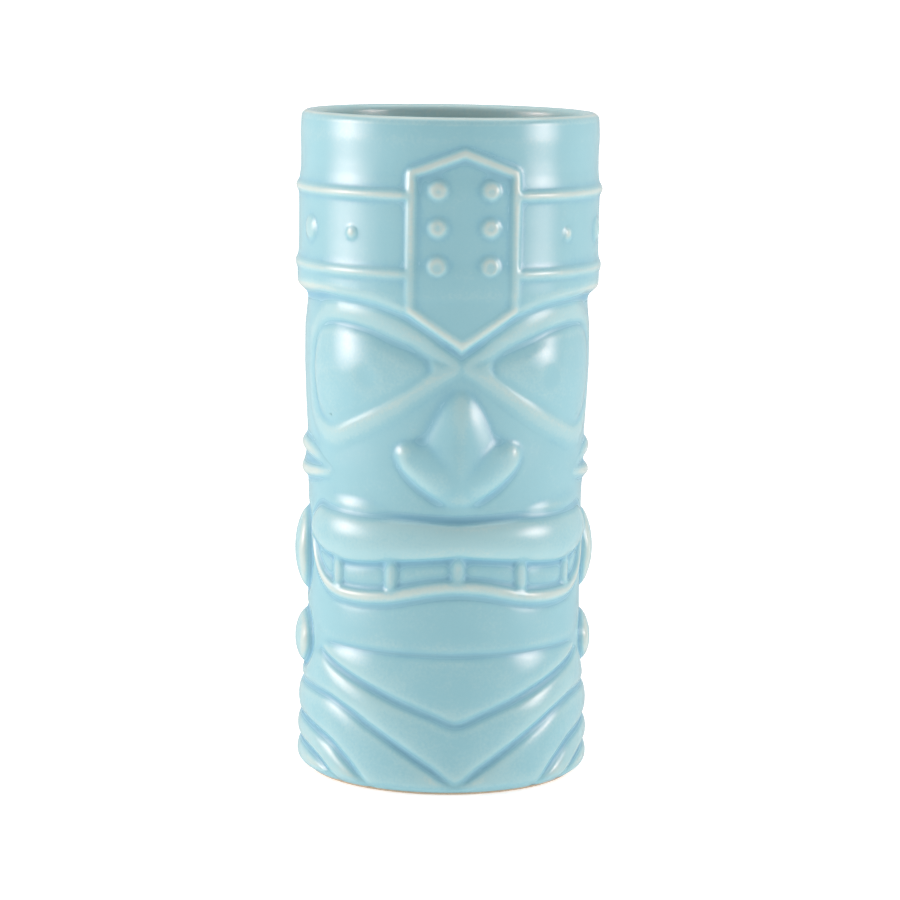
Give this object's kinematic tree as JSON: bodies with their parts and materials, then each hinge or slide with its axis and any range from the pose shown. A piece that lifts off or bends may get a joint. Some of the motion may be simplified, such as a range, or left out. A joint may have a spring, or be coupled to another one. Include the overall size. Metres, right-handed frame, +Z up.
{
  "type": "tiki mug",
  "caption": "Tall glazed ceramic mug with a carved tiki face, studded headband, forehead plaque, side ears and a chevron beard, standing on an unglazed foot ring.",
  "frame": {"origin": "centre of the foot ring's resting face", "axes": "+Z up along the mug's axis, the face looks along -Y, +X is to the right seen from the front"},
  "size_m": [0.0758, 0.076, 0.165],
  "materials": {
    "glazed_body": "gloss, sky blue celadon glaze, darker where it pools",
    "glazed_crests": "gloss, the same glaze breaking to cream on the crests",
    "bare_clay": "matt unglazed stoneware"
  },
  "bodies": {
    "root": {"vessel": "glazed_body", "foot_ring": "bare_clay", "headband": "glazed_body", "headband_upper_ridge": "glazed_crests", "headband_lower_ridge": "glazed_crests", "headband_small_studs": "glazed_crests", "headband_large_studs": "glazed_crests", "plaque_panel": "glazed_body", "plaque_frame": "glazed_crests", "plaque_studs": "glazed_crests", "brow_left": "glazed_crests", "brow_right": "glazed_crests", "eye_frame_left": "glazed_crests", "eye_frame_right": "glazed_crests", "eye_left": "glazed_body", "eye_right": "glazed_body", "nose": "glazed_body", "upper_lip": "glazed_body", "lower_lip": "glazed_crests", "teeth": "glazed_body", "tooth_bars": "glazed_crests", "ear_left": "glazed_crests", "ear_right": "glazed_crests", "ear_lobe_left": "glazed_body", "ear_lobe_right": "glazed_body", "ear_pendant_left": "glazed_body", "ear_pendant_right": "glazed_body", "chin": "glazed_body", "beard_bib": "glazed_body", "beard_strand_upper": "glazed_body", "beard_strand_middle": "glazed_body", "beard_strand_lower": "glazed_body", "beard_strand_bottom": "glazed_body", "hair_locks": "glazed_body"}
  },
  "joints": []
}
